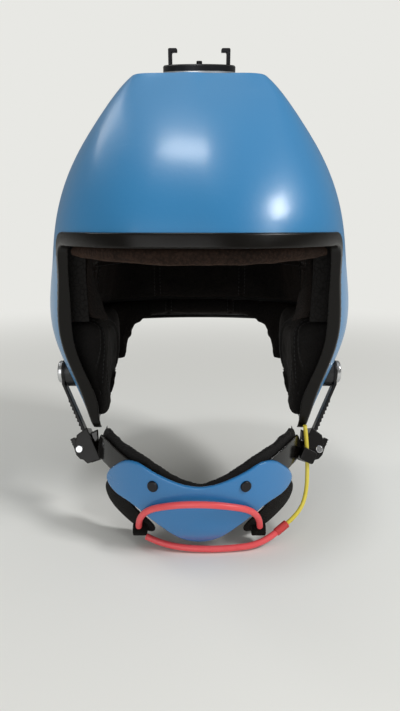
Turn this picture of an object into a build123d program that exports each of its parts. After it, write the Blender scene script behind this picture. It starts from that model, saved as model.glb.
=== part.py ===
from build123d import *
import math
import os

os.makedirs("parts", exist_ok=True)

# Open face camera helmet, upright as it is worn: +Z to the crown, the face towards -Y,
# the origin between the two side pivots of the chin harness.

# Shell, measured from the origin
shell_half_width = 115.3
shell_front = 124.0
shell_back = 134.0
shell_top = 206.0
shell_drop = 45.0
shell_wall = 3.5

# One row for each level: height, half width, front, back, corner width, corner depth, widest place.
# Heights below zero are shares of shell_drop, the others of shell_top.
level_shares = [
    (1.000, 0.436, 0.347, 0.597, 0.356, 0.315, 0.060),
    (0.951, 0.527, 0.430, 0.724, 0.425, 0.363, 0.060),
    (0.854, 0.677, 0.597, 0.836, 0.494, 0.476, 0.055),
    (0.728, 0.815, 0.774, 0.940, 0.538, 0.621, 0.050),
    (0.602, 0.895, 0.903, 0.985, 0.585, 0.718, 0.050),
    (0.476, 0.938, 0.976, 1.000, 0.607, 0.742, 0.060),
    (0.291, 1.000, 1.000, 0.978, 0.540, 0.715, 0.110),
    (0.136, 0.984, 0.980, 0.948, 0.503, 0.665, 0.110),
    (0.024, 0.915, 0.960, 0.905, 0.451, 0.613, 0.110),
    (-0.444, 0.824, 0.930, 0.850, 0.434, 0.565, 0.110),
    (-1.000, 0.700, 0.880, 0.776, 0.382, 0.500, 0.110),
]
brow_flat_shares = (0.56, 0.20)
cheek_shares = (0.63, 0.385)
rear_shares = [(0.970, 0.39), (0.810, 0.75), (0.460, 0.94)]
least_level_step = 6.0
slope_step = 1.0

# Edge of the shell, seen from the side: reach ahead of the pivots and height
brow_height = 104.0
temple_reach = 61.0
temple_rise = 3.0
temple_height = brow_height + temple_rise
temple_round = 11.0
cheek_reach = 45.0
cheek_height = 39.0
flap_front_reach = 27.0
flap_bottom = 36.0
flap_front_round = 13.0
flap_back_reach = 20.0
flap_back_round = 24.0
nape_foot_reach = 74.0
nape_foot_drop = 2.0
nape_foot_round = 14.0
nape_reach = 100.0
nape_height = 29.0
nape_round = 9.0
edge_gap = 0.1
overrun = 60.0

# Rubber edging
brow_trim_drop = 8.5
edge_trim_width = 2.8
trim_outside = 1.6
trim_inside = 5.0
trim_split_reach = 14.0

# Linings, as depths under the outer surface of the shell
liner_outer_depth = 3.8
liner_inner_depth = 18.0
liner_foot = 46.0
liner_brow_rise = 8.0
liner_edge_back = 5.0
lining_inner_depth = 26.0
lining_gap = 0.3
crown_pad_rise = 18.0
crown_pad_foot = brow_height + crown_pad_rise
rear_pad_front = -52.0
brow_pad_outer_depth = 6.0
brow_pad_inner_depth = 19.0
brow_pad_drop = 17.0
brow_pad_bottom = brow_height - brow_pad_drop
brow_pad_reach = 59.0
ear_pad_outer_depth = 4.6
ear_pad_inner_share = 0.607112
ear_pad_inner_x = shell_half_width * ear_pad_inner_share
ear_pad_top = 45.6
ear_pad_bottom = 33.0
ear_pad_front = 38.0
ear_pad_front_low = 22.0
ear_pad_back_low = -2.0
ear_pad_back = 62.0
ear_pad_back_foot = 3.0
ear_pad_round = 8.0
ear_pad_edge = 6.0
nape_pad_inner_depth = 24.0
nape_pad_height = 45.6
nape_pad_drop = 2.0

# Chin piece as shares of the shell's width and of the side flaps' depth
cup_radius_share = 0.750217
cup_depth_share = 2.777778
cup_half_width_share = 0.768786
cup_bottom_share = 1.044
cup_middle_share = 0.578
rivet_place_share = 0.359538
rivet_height_share = 0.593
chin_pad_width_share = 0.843931
keeper_place_share = 0.485549
keeper_reach_share = 0.763006
keeper_height_share = 0.990
strap_end_share = 0.670
buckle_place_share = 0.570
buckle_width_share = 0.969368
cup_radius = shell_half_width * cup_radius_share
cup_depth = flap_bottom * cup_depth_share
cup_half_width = cup_radius * cup_half_width_share
cup_bottom = cup_depth * cup_bottom_share
cup_middle_top = cup_depth * cup_middle_share
rivet_place = cup_radius * rivet_place_share
rivet_height = cup_depth * rivet_height_share
chin_pad_half_width = cup_radius * chin_pad_width_share
keeper_place = cup_radius * keeper_place_share
keeper_reach = cup_radius * keeper_reach_share
keeper_height = cup_depth * keeper_height_share
strap_end = cup_depth * strap_end_share
buckle_place = cup_depth * buckle_place_share
buckle_x = cup_radius * buckle_width_share

# Side pivots
pivot_seat_share = 0.897658
pivot_seat_x = shell_half_width * pivot_seat_share
pivot_seat_radius = 13.0
pivot_boss_radius = 11.5
pivot_boss_length = 10.5
washer_radius = 10.6
washer_thickness = 1.0
pivot_hole_radius = 3.2
screw_radius = 3.0
screw_head_radius = 8.8
screw_head_height = 3.2
screw_head_round = 1.6
screw_socket_radius = 2.9
screw_socket_depth = 1.6
nut_radius = 7.0
nut_thickness = 2.0
running_gap = 0.3

# Ladder straps
strap_lean = 21.0
strap_width = 12.0
strap_thickness = 2.4
strap_eye_radius = 9.4
strap_bend_from = 10.5
tooth_first = 22.0
tooth_pitch = 3.0
tooth_height = 1.0
tooth_run = 2.2

# Ratchet buckles
pin_height = 8.0
frame_length_up = 12.5
frame_length_down = 13.8
frame_floor = 1.6
frame_floor_gap = 0.7
frame_cheek = 1.6
frame_cheek_gap = 1.3
cheek_outline_shares = [(-1.00, -0.44), (-0.85, 0.72), (-0.40, 1.20), (0.33, 1.27), (0.91, 0.87), (1.00, -0.44)]
pin_radius = 1.6
pin_head_radius = 2.9
pin_head_height = 0.9
pin_hole_gap = 0.05
lever_side_gap = 0.3
lever_tip_gap = 0.25
lever_nose = 10.4
lever_back_height = 4.4
lever_outline_shares = [(-0.96, 0.14), (-0.96, 0.77), (-0.40, 0.86), (0.29, 1.00), (0.67, 0.68), (1.02, -0.41)]
lever_under_shares = [(0.83, -0.68), (0.38, -0.61), (0.00, -0.70), (-0.38, -0.36)]
rib_count = 3
rib_pitch = 1.9
rib_width = 0.9
rib_height = 0.6
rib_first = 9.3
coil_outer = 2.8
coil_inner = 1.9
coil_length = 3.6
coil_gap = 0.4

# Chin piece: layers as radii about the upright axis, largest at the mouth
cup_thickness = 3.2
carrier_thickness = 2.2
pad_thickness = 8.0
layer_gap = 0.3
cup_level_shares = [(1.000, 0.30), (1.000, 0.60), (0.983, 0.80), (0.931, 0.95), (0.821, 1.08), (0.671, 1.18)]
cup_outline_shares = [(0.170, 0.540), (0.340, 0.506), (0.510, 0.462), (0.640, 0.431), (0.760, 0.441), (0.880, 0.498),
                      (1.000, 0.640), (0.930, 0.690), (0.750, 0.727), (0.510, 0.818), (0.370, 0.883), (0.210, 0.960)]
rivet_radius = 3.85
rivet_cap = 1.5
rivet_shank_radius = 1.5
chin_pad_top_shares = [(0.000, 0.550), (0.365, 0.455), (0.568, 0.392), (0.775, 0.338), (0.930, 0.318), (1.000, 0.375)]
chin_pad_low_shares = [(1.000, 0.450), (0.775, 0.610), (0.365, 0.780), (0.000, 0.830)]
carrier_top_shares = [(0.000, 0.610), (0.365, 0.545), (0.568, 0.470), (0.775, 0.405), (1.000, 0.375),
                      (1.050, 0.450), (1.090, 0.470)]
carrier_low_shares = [(1.090, 0.560), (0.800, 0.600), (0.600, 0.715), (0.380, 0.830), (0.000, 0.920)]
arm_length = 16.0
arm_width = 14.0
arm_depth = 8.0

# Hook and loop tabs and the tube keepers
tab_outline_shares = [(0.900, 0.645), (1.050, 0.730), (1.010, 0.843), (0.857, 0.920), (0.707, 0.997),
                      (0.571, 1.015), (0.470, 0.950), (0.530, 0.865), (0.710, 0.765)]
keeper_radius = 4.6
keeper_length = 10.0

# Release tube and cable, with their routes as points chosen by hand
tube_radius = 2.25
cable_radius = 1.5
sleeve_radius = 2.9
arc_route = [(-42.5, -69.4, -95.1), (-41.5, -79.5, -78.5), (-15.5, -91.5, -66.8),
             (15.5, -91.5, -67.4), (41.5, -79.5, -78.5), (42.5, -69.4, -95.1)]
lower_route = [(-37.2, -69.0, -103.2), (-26.0, -74.0, -106.2), (-3.0, -77.0, -108.2),
               (21.0, -76.0, -108.4), (44.0, -72.6, -107.0), (54.5, -67.0, -101.2)]
cable_route = [(62.5, -62.73, -96.78), (72.8, -57.2, -91.1), (79.5, -46.5, -79.5),
               (80.6, -38.5, -60.0), (80.0, -36.0, -44.0), (78.0, -36.8, -32.0)]
lug_from = 4.0
lug_length = 9.5
lug_below = 4.5
lug_above = 6.0
lug_reach = 11.0
lug_gap = 0.1
lug_bore_gap = 0.25

# Camera mount
base_place = -8.0
base_radius = 25.0
base_height = 10.0
base_lean = 14.0
base_bore_radius = 3.3
base_bore_depth = 8.6
disc_radius = 25.0
disc_height = 4.0
disc_edge = 0.8
hook_stem_in = 18.7
hook_stem_out = 21.2
hook_depth = 9.0
hook_height = 10.4
hook_reach = 3.6
hook_arm_height = 2.6
mount_screw_radius = 1.5
mount_screw_head_radius = 2.9
mount_screw_head_height = 1.4
mount_screw_circle = 15.0
mount_screw_count = 4
mount_screw_grip = 2.4
plunger_radius = 2.25
plunger_gap = 0.08
plunger_height = 2.9
plunger_end_radius = 2.0
plunger_end_edge = 0.4
plunger_flange_radius = 3.0
plunger_flange = 1.2
plunger_flange_gap = 0.1
latch_spring_outer = 2.8
latch_spring_inner = 2.2


def level_value(rows, height, column):
    """Smooth curve through one column of a table of levels, highest level first."""
    ordered = sorted(rows)
    index = 0
    while index < len(ordered) - 2 and height > ordered[index + 1][0]:
        index += 1
    low, high = ordered[index], ordered[index + 1]
    span = high[0] - low[0]
    step = (high[column] - low[column]) / span
    before = step
    after = step
    if index > 0:
        last = ordered[index - 1]
        before = (high[column] - last[column]) / (high[0] - last[0])
    if index < len(ordered) - 2:
        following = ordered[index + 2]
        after = (following[column] - low[column]) / (following[0] - low[0])
    t = (height - low[0]) / span
    return (low[column] * (2 * t**3 - 3 * t**2 + 1) + before * span * (t**3 - 2 * t**2 + t)
            + high[column] * (3 * t**2 - 2 * t**3) + after * span * (t**3 - t**2))


def shell_rows():
    rows = []
    for height, side, front, back, corner, depth, widest in level_shares:
        level = height * (shell_top if height > 0 else shell_drop)
        rows.append((level, side * shell_half_width, front * shell_front, back * shell_back,
                     corner * shell_half_width, depth * shell_front, widest * shell_back))
    return rows


def half_outline(level):
    """Half of the shell's outline at one level, from the middle of the front to the back."""
    rows = shell_rows()
    side, front, back, corner, depth, widest = [level_value(rows, level, column) for column in range(1, 7)]
    flat_x, flat_y = brow_flat_shares
    cheek_x, cheek_y = cheek_shares
    points = [(0, -front), (corner * flat_x, -front + (front - depth) * flat_y), (corner, -depth),
              (corner + (side - corner) * cheek_x, -depth + (widest + depth) * cheek_y), (side, widest)]
    points += [(side * x, back * y) for x, y in rear_shares]
    points.append((0, back))
    return points


def full_outline(level):
    half = half_outline(level)
    return half + [(-x, y) for x, y in half[-2:0:-1]]


def inset_outline(level, inset):
    """Outline at a level, moved in so that the wall is as thick as inset square to the surface."""
    here = full_outline(level)
    above = full_outline(min(level + slope_step, shell_top))
    below = full_outline(level - slope_step)
    rise = min(level + slope_step, shell_top) - level + slope_step
    result = []
    for index, (x, y) in enumerate(here):
        ahead = here[(index + 1) % len(here)]
        behind = here[index - 1]
        length = math.hypot(ahead[0] - behind[0], ahead[1] - behind[1])
        normal = ((ahead[1] - behind[1]) / length, -(ahead[0] - behind[0]) / length)
        growth = ((above[index][0] - below[index][0]) * normal[0]
                  + (above[index][1] - below[index][1]) * normal[1]) / rise
        shift = inset * math.sqrt(1 + growth**2)
        result.append((x - normal[0] * shift, y - normal[1] * shift))
    return result


def shell_form(inset):
    """Closed body inside the outer surface of the shell by inset, or outside it if negative."""
    top = shell_top - inset
    levels = [row[0] for row in shell_rows() if row[0] < top - least_level_step]
    with BuildPart() as form:
        for level in sorted(levels) + [min(top, shell_top)]:
            with BuildSketch(Plane.XY.offset(level)):
                with BuildLine():
                    Spline(*inset_outline(level, inset), periodic=True)
                make_face()
        loft()
    return form.part


def edge_outline(drop, forward):
    """The shell's edge from the side, lowered at the brow by drop and moved out by forward."""
    front = shell_front + overrun
    back = shell_back + overrun
    return [(-front, brow_height - drop), (-temple_reach - forward, temple_height - drop),
            (-cheek_reach - forward, cheek_height), (-flap_front_reach - forward, -flap_bottom - forward),
            (flap_back_reach, -flap_bottom - forward), (nape_foot_reach, -nape_foot_drop - forward),
            (nape_reach, nape_height - forward), (back, nape_height - forward),
            (back, shell_top + overrun), (-front, shell_top + overrun)]


def side_region(drop, forward):
    """Everything above and behind the shell's edge, as wide as the helmet."""
    rounds = [temple_round, flap_front_round, flap_back_round, nape_foot_round, nape_round]
    with BuildPart() as region:
        with BuildSketch(Plane.YZ):
            with BuildLine():
                Polyline(*edge_outline(drop, forward), close=True)
            make_face()
            for point, radius in zip([1, 3, 4, 5, 6], rounds):
                y, z = edge_outline(drop, forward)[point]
                corner = vertices().sort_by_distance((y, z))[0]
                fillet(corner, radius=radius)
        extrude(amount=shell_half_width + overrun, both=True)
    return region.part


def block(x_from, x_to, y_from, y_to, z_from, z_to):
    with BuildPart() as box:
        with Locations(((x_from + x_to) / 2, (y_from + y_to) / 2, (z_from + z_to) / 2)):
            Box(x_to - x_from, y_to - y_from, z_to - z_from)
    return box.part


def save(part, name):
    part.label = name
    export_step(part, "parts/" + name + ".step")
    print(name, "volume", round(part.volume), "solids", len(part.solids()))


outer_form = shell_form(0)
inner_form = shell_form(shell_wall)
liner_form = shell_form(liner_outer_depth)
liner_hollow = shell_form(liner_inner_depth)
lining_form = shell_form(liner_inner_depth + lining_gap)
lining_hollow = shell_form(lining_inner_depth)
print("forms made")

shell_region = side_region(0, 0)
wide = shell_half_width + overrun

# Shell with the seats of the side pivots
with BuildPart() as shell:
    add(outer_form)
    add(inner_form, mode=Mode.SUBTRACT)
    add(shell_region, mode=Mode.INTERSECT)
    for side in (1, -1):
        with Locations(Location((side * (pivot_seat_x - pivot_boss_length / 2), 0, 0), (0, 90, 0))):
            Cylinder(pivot_boss_radius, pivot_boss_length)
        with Locations(Location((side * (pivot_seat_x + overrun / 2), 0, 0), (0, 90, 0))):
            Cylinder(pivot_seat_radius, overrun, mode=Mode.SUBTRACT)
        with Locations(Location((side * pivot_seat_x, 0, 0), (0, 90, 0))):
            Cylinder(pivot_hole_radius, overrun, mode=Mode.SUBTRACT)
save(shell.part, "shell")

# Foam liner, stopping above the ears and behind the brow
with BuildPart() as liner:
    add(liner_form)
    add(liner_hollow, mode=Mode.SUBTRACT)
    add(side_region(-liner_brow_rise, -liner_edge_back), mode=Mode.INTERSECT)
    add(block(-wide, wide, -wide, shell_back + overrun, liner_foot, shell_top), mode=Mode.INTERSECT)
save(liner.part, "foam_liner")

# Edging round the face opening and round the lower edge
edging_band = side_region(brow_trim_drop, edge_trim_width) - side_region(edge_gap, edge_gap)
edging_skin = shell_form(-trim_outside) - shell_form(trim_inside)
edging = edging_skin & edging_band
front_half = block(-wide, wide, -shell_front - overrun, -trim_split_reach - edge_gap, -shell_top, shell_top)
back_half = block(-wide, wide, -trim_split_reach + edge_gap, shell_back + overrun, -shell_top, shell_top)
with BuildPart() as face_trim:
    add(edging & front_half)
save(face_trim.part, "face_edging")
with BuildPart() as lower_trim:
    add(edging & back_half)
save(lower_trim.part, "lower_edging")

# Linings
lining_wall = lining_form - lining_hollow
with BuildPart() as crown_pad:
    add(lining_wall & block(-wide, wide, -wide, wide, crown_pad_foot, shell_top))
save(crown_pad.part, "crown_pad")
with BuildPart() as rear_pad:
    add(lining_wall & block(-wide, wide, rear_pad_front, shell_back, liner_foot, crown_pad_foot - lining_gap))
save(rear_pad.part, "rear_pad")
brow_wall = shell_form(brow_pad_outer_depth) - shell_form(brow_pad_inner_depth)
brow_top = brow_height + liner_brow_rise - lining_gap
with BuildPart() as brow_pad:
    add(brow_wall & block(-wide, wide, -shell_front, -brow_pad_reach, brow_pad_bottom, brow_top))
save(brow_pad.part, "brow_pad")

ear_form = shell_form(ear_pad_outer_depth)
nape_hollow = shell_form(nape_pad_inner_depth)
pad_region = side_region(-nape_pad_drop, -nape_pad_drop)
ear_pad_outline = [(-ear_pad_front_low, -ear_pad_bottom), (ear_pad_back_low, -ear_pad_bottom),
                   (ear_pad_back, ear_pad_back_foot), (ear_pad_back, ear_pad_top), (-ear_pad_front, ear_pad_top)]
with BuildPart() as ear_pad:
    with BuildSketch(Plane.YZ.offset(ear_pad_inner_x)):
        with BuildLine():
            Polyline(*ear_pad_outline, close=True)
        make_face()
        fillet(vertices(), radius=ear_pad_round)
    extrude(amount=overrun)
    fillet(faces().sort_by(Axis.X)[0].edges(), radius=ear_pad_edge)
    add(ear_form, mode=Mode.INTERSECT)
    pocket_depth = wide - (pivot_seat_x - pivot_boss_length - nut_thickness - lining_gap)
    with Locations(Location((wide - pocket_depth / 2, 0, 0), (0, 90, 0))):
        Cylinder(pivot_boss_radius + lining_gap, pocket_depth, mode=Mode.SUBTRACT)
save(ear_pad.part, "ear_pad_right")
save(mirror(ear_pad.part, about=Plane.YZ), "ear_pad_left")
with BuildPart() as nape_pad:
    add(ear_form - nape_hollow)
    add(pad_region, mode=Mode.INTERSECT)
    add(block(-wide, wide, ear_pad_back + lining_gap, shell_back, -shell_drop, nape_pad_height),
        mode=Mode.INTERSECT)
save(nape_pad.part, "nape_pad")
print("linings made")


def both_sides(part):
    return Compound(children=[part, mirror(part, about=Plane.YZ)])


# Side pivots, the same on both sides
seat = Plane(origin=(pivot_seat_x, 0, 0), x_dir=(0, 1, 0), z_dir=(1, 0, 0))
with BuildPart() as washer:
    with BuildSketch(seat):
        Circle(washer_radius)
        Circle(screw_radius, mode=Mode.SUBTRACT)
    extrude(amount=washer_thickness)
save(both_sides(washer.part), "pivot_washers")

eye_from = washer_thickness + running_gap
head_from = eye_from + strap_thickness + running_gap
with BuildPart() as screw:
    with BuildSketch(seat.offset(-pivot_boss_length)):
        Circle(screw_radius - pin_hole_gap)
    extrude(amount=pivot_boss_length + head_from)
    with BuildSketch(seat.offset(head_from)):
        Circle(screw_head_radius)
    extrude(amount=screw_head_height)
    fillet(edges().filter_by(GeomType.CIRCLE).sort_by(Axis.X)[-1], radius=screw_head_round)
    with BuildSketch(seat.offset(head_from + screw_head_height - screw_socket_depth)):
        RegularPolygon(screw_socket_radius, 6)
    extrude(amount=screw_socket_depth, mode=Mode.SUBTRACT)
save(both_sides(screw.part), "pivot_screws")
with BuildPart() as nut:
    with BuildSketch(seat.offset(-pivot_boss_length - nut_thickness)):
        Circle(nut_radius)
    extrude(amount=nut_thickness)
    fillet(edges().filter_by(GeomType.CIRCLE).sort_by(Axis.X)[0], radius=nut_thickness / 2)
save(both_sides(nut.part), "pivot_nuts")

# Ladder straps, drawn in a plane that holds the pivot axis and leans forward
lean = math.radians(strap_lean)
down = Vector(0, -math.sin(lean), -math.cos(lean))
across = Vector(0, -math.cos(lean), math.sin(lean))
strap_plane = Plane(origin=(0, 0, 0), x_dir=down, z_dir=across)
eye_x = pivot_seat_x + eye_from + strap_thickness / 2
slope = math.atan((eye_x - buckle_x) / (buckle_place - strap_bend_from))


def strap_point(distance, height):
    """Place in the strap's plane: distance down from the pivot, height out of the middle of the strap."""
    if distance <= strap_bend_from:
        return (distance, eye_x + height)
    middle = (distance, eye_x - (distance - strap_bend_from) * math.tan(slope))
    return (middle[0] + height * math.sin(slope), middle[1] + height * math.cos(slope))


half = strap_thickness / 2
mitre = half * math.tan(slope / 2)
with BuildPart() as strap:
    with BuildSketch(strap_plane):
        with BuildLine():
            Polyline((0, eye_x + half), (strap_bend_from + mitre, eye_x + half), strap_point(strap_end, half),
                     strap_point(strap_end, -half), (strap_bend_from - mitre, eye_x - half),
                     (0, eye_x - half), close=True)
        make_face()
        tooth_count = int((strap_end - tooth_first) / tooth_pitch)
        for index in range(tooth_count):
            start = tooth_first + index * tooth_pitch
            with BuildLine():
                Polyline(strap_point(start, half - half / 2), strap_point(start, half),
                         strap_point(start + tooth_run, half + tooth_height),
                         strap_point(start + tooth_run, half - half / 2), close=True)
            make_face()
    extrude(amount=strap_width / 2, both=True)
    with BuildSketch(seat.offset(eye_from)):
        Circle(strap_eye_radius)
    extrude(amount=strap_thickness)
    with BuildSketch(seat.offset(0)):
        Circle(pivot_hole_radius)
    extrude(amount=overrun, mode=Mode.SUBTRACT)
save(strap.part, "ladder_strap_right")
save(mirror(strap.part, about=Plane.YZ), "ladder_strap_left")

# Ratchet buckles, drawn square to the strap at the pin
place = strap_point(buckle_place, 0)
buckle_origin = down * place[0] + Vector(place[1], 0, 0)
along = down * math.cos(slope) - Vector(math.sin(slope), 0, 0)
buckle_plane = Plane(origin=buckle_origin, x_dir=along, z_dir=across)
cheek_inner = strap_width / 2 + frame_cheek_gap
cheek_outer = cheek_inner + frame_cheek
floor_top = -half - frame_floor_gap


def frame_point(share):
    length = frame_length_up if share[0] < 0 else frame_length_down
    return (share[0] * length, share[1] * pin_height)


with BuildPart() as frame:
    with BuildSketch(buckle_plane.offset(cheek_inner), buckle_plane.offset(-cheek_outer)):
        with BuildLine():
            Polyline(*[frame_point(share) for share in cheek_outline_shares], close=True)
        make_face()
        with Locations((0, pin_height)):
            Circle(pin_radius + pin_hole_gap, mode=Mode.SUBTRACT)
    extrude(amount=frame_cheek)
    with BuildSketch(buckle_plane):
        with BuildLine():
            Polyline((-frame_length_up, floor_top), (frame_length_down, floor_top),
                     (frame_length_down, floor_top - frame_floor), (-frame_length_up, floor_top - frame_floor),
                     close=True)
        make_face()
    extrude(amount=cheek_outer, both=True)
save(frame.part, "buckle_frame_right")
save(mirror(frame.part, about=Plane.YZ), "buckle_frame_left")

lever_half = cheek_inner - lever_side_gap


def lever_point(share):
    return (share[0] * lever_nose, pin_height + share[1] * lever_back_height)


with BuildPart() as lever:
    with BuildSketch(buckle_plane):
        with BuildLine():
            tip = (lever_nose, half + tooth_height + lever_tip_gap)
            Polyline(*[lever_point(share) for share in lever_outline_shares], tip,
                     *[lever_point(share) for share in lever_under_shares], close=True)
        make_face()
        for index in range(rib_count):
            with Locations((-rib_first + index * rib_pitch, pin_height + lever_back_height * 0.8)):
                Rectangle(rib_width, rib_height * 2)
        with Locations((0, pin_height)):
            Circle(pin_radius + pin_hole_gap, mode=Mode.SUBTRACT)
    extrude(amount=lever_half, both=True)
    with BuildSketch(buckle_plane):
        with Locations((0, pin_height)):
            Circle(coil_outer + coil_gap)
    extrude(amount=coil_length / 2 + coil_gap, both=True, mode=Mode.SUBTRACT)
save(lever.part, "buckle_lever_right")
save(mirror(lever.part, about=Plane.YZ), "buckle_lever_left")

with BuildPart() as pin:
    with BuildSketch(buckle_plane):
        with Locations((0, pin_height)):
            Circle(pin_radius)
    extrude(amount=cheek_outer, both=True)
    with BuildSketch(buckle_plane.offset(cheek_outer), buckle_plane.offset(-cheek_outer - pin_head_height)):
        with Locations((0, pin_height)):
            Circle(pin_head_radius)
    extrude(amount=pin_head_height)
    rims = edges().filter_by(GeomType.CIRCLE).group_by(SortBy.RADIUS)[-1]
    fillet(ShapeList([rims.sort_by(Axis.Y)[0], rims.sort_by(Axis.Y)[-1]]), radius=pin_head_height * 0.8)
save(both_sides(pin.part), "buckle_pins")
with BuildPart() as coil:
    with BuildSketch(buckle_plane):
        with Locations((0, pin_height)):
            Circle(coil_outer)
            Circle(coil_inner, mode=Mode.SUBTRACT)
    extrude(amount=coil_length / 2, both=True)
save(both_sides(coil.part), "buckle_springs")
print("buckles made")


def cup_rows(depth):
    """Half profile of a chin layer, as radius and height, moved in square to the cup by depth."""
    rows = [(radius * cup_radius, -level * cup_depth) for radius, level in cup_level_shares]
    result = []
    for index, (radius, height) in enumerate(rows):
        above = rows[max(index - 1, 0)]
        below = rows[min(index + 1, len(rows) - 1)]
        length = math.hypot(below[0] - above[0], below[1] - above[1])
        normal = ((above[1] - below[1]) / length, (below[0] - above[0]) / length)
        result.append((radius - normal[0] * depth, height - normal[1] * depth))
    return result


def cup_layer(depth, thickness):
    """Full ring of one layer of the chin piece, from the mouth of the helmet down to the cup's foot."""
    outer = cup_rows(depth)
    inner = cup_rows(depth + thickness)
    with BuildPart() as layer:
        with BuildSketch(Plane.XZ):
            with BuildLine():
                Line((inner[0][0], 0), (outer[0][0], 0))
                Line((outer[0][0], 0), outer[0])
                Spline(*outer, tangents=[(0, -1), (outer[-1][0] - outer[-2][0], outer[-1][1] - outer[-2][1])])
                Line(outer[-1], inner[-1])
                Spline(*inner[::-1], tangents=[(inner[-2][0] - inner[-1][0], inner[-2][1] - inner[-1][1]), (0, 1)])
                Line(inner[0], (inner[0][0], 0))
            make_face()
        revolve(axis=Axis.Z)
    return layer.part


def front_prism(points):
    """A closed outline seen from the front, carried through the front half of the chin piece."""
    with BuildPart() as prism:
        with BuildSketch(Plane.XZ):
            with BuildLine():
                Spline(*points, periodic=True)
            make_face()
        extrude(amount=cup_radius + overrun)
    return prism.part


def front_strip(top_shares, low_shares, width, height):
    """A strip seen from the front, the same on both sides, with smooth long edges."""
    top = [(x * width, -z * height) for x, z in top_shares]
    low = [(x * width, -z * height) for x, z in low_shares]
    top = [(-x, z) for x, z in top[:0:-1]] + top
    low = low + [(-x, z) for x, z in low[-2::-1]]
    with BuildPart() as strip:
        with BuildSketch(Plane.XZ):
            with BuildLine():
                Spline(*top)
                Line(top[-1], low[0])
                Spline(*low)
                Line(low[-1], top[0])
            make_face()
        extrude(amount=cup_radius + overrun)
    return strip.part


rivet_angle = math.asin(rivet_place / cup_radius)
carrier_depth = cup_thickness + layer_gap
pad_depth = carrier_depth + carrier_thickness + layer_gap


def rivet_planes():
    for side in (1, -1):
        outward = Vector(side * math.sin(rivet_angle), -math.cos(rivet_angle), 0)
        yield Plane(origin=outward * cup_radius + Vector(0, 0, -rivet_height), x_dir=(0, 0, 1), z_dir=outward)


right_cup = [(x * cup_half_width, -z * cup_bottom) for x, z in cup_outline_shares]
cup_outline = [(0, -cup_middle_top)] + right_cup + [(0, -cup_bottom)] + [(-x, z) for x, z in right_cup[::-1]]
with BuildPart() as chin_cup:
    add(cup_layer(0, cup_thickness))
    add(front_prism(cup_outline), mode=Mode.INTERSECT)
    for plane in rivet_planes():
        with BuildSketch(plane):
            Circle(rivet_shank_radius)
        extrude(amount=-cup_thickness * 2, mode=Mode.SUBTRACT)
save(chin_cup.part, "chin_cup")

with BuildPart() as rivets:
    for plane in rivet_planes():
        with BuildSketch(plane.offset(edge_gap)):
            Circle(rivet_radius)
        extrude(amount=rivet_cap)
    fillet(edges().filter_by(GeomType.CIRCLE).sort_by(Axis.Y)[:2], radius=rivet_cap * 0.7)
    for plane in rivet_planes():
        with BuildSketch(plane.offset(-carrier_depth - carrier_thickness)):
            Circle(rivet_shank_radius - pin_hole_gap)
        extrude(amount=carrier_depth + carrier_thickness + edge_gap)
save(rivets.part, "cup_rivets")

lug_middle = (lug_from + lug_length / 2, (lug_above - lug_below) / 2)
with BuildPart() as lug:
    with BuildSketch(buckle_plane.offset(cheek_outer + lug_gap)):
        with Locations(lug_middle):
            RectangleRounded(lug_length, lug_above + lug_below, cable_radius)
    extrude(amount=lug_reach)
    bore_line = Vector(*cable_route[-2]) - Vector(*cable_route[-3])
    with BuildSketch(Plane(origin=Vector(*cable_route[-3]) - bore_line, z_dir=bore_line)):
        Circle(cable_radius + lug_bore_gap)
    extrude(amount=bore_line.length * 2, mode=Mode.SUBTRACT)
save(lug.part, "release_lug")
with BuildPart() as lug_room:
    with BuildSketch(buckle_plane.offset(cheek_outer)):
        with Locations(lug_middle):
            Rectangle(lug_length + 2 * layer_gap, lug_above + lug_below + 2 * layer_gap)
    extrude(amount=lug_reach + lug_gap + layer_gap)

# Block of the buckle's room, and the arm that the buckle stands on
with BuildPart() as buckle_room:
    with BuildSketch(buckle_plane):
        room_low = floor_top - frame_floor - layer_gap
        with Locations(((frame_length_down - frame_length_up) / 2, (room_low + overrun) / 2)):
            Rectangle(frame_length_up + frame_length_down + 2 * layer_gap, overrun - room_low)
    extrude(amount=cheek_outer + layer_gap, both=True)
room = buckle_room.part
arm_top = floor_top - frame_floor - edge_gap
with BuildPart() as arm:
    with BuildSketch(buckle_plane):
        with Locations((0, arm_top - arm_depth / 2)):
            Rectangle(arm_length, arm_depth)
    extrude(amount=arm_width / 2, both=True)
    with Locations((0, 0, -cup_depth / 2)):
        Cylinder(cup_radius - carrier_depth - carrier_thickness, cup_depth * 2, mode=Mode.SUBTRACT)
carrier_strip = front_strip(carrier_top_shares, carrier_low_shares, chin_pad_half_width, cup_bottom)
with BuildPart() as carrier:
    add(cup_layer(carrier_depth, carrier_thickness))
    add(carrier_strip, mode=Mode.INTERSECT)
    add(room, mode=Mode.SUBTRACT)
    add(mirror(room, about=Plane.YZ), mode=Mode.SUBTRACT)
    add(lug_room.part, mode=Mode.SUBTRACT)
    add(arm.part)
    add(mirror(arm.part, about=Plane.YZ))
    for plane in rivet_planes():
        with BuildSketch(plane):
            Circle(rivet_shank_radius)
        extrude(amount=-cup_thickness * 4, mode=Mode.SUBTRACT)
save(carrier.part, "chin_carrier")

pad_strip = front_strip(chin_pad_top_shares, chin_pad_low_shares, chin_pad_half_width, cup_bottom)
with BuildPart() as chin_pad:
    add(cup_layer(pad_depth, pad_thickness))
    add(pad_strip, mode=Mode.INTERSECT)
save(chin_pad.part, "chin_pad")

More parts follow.
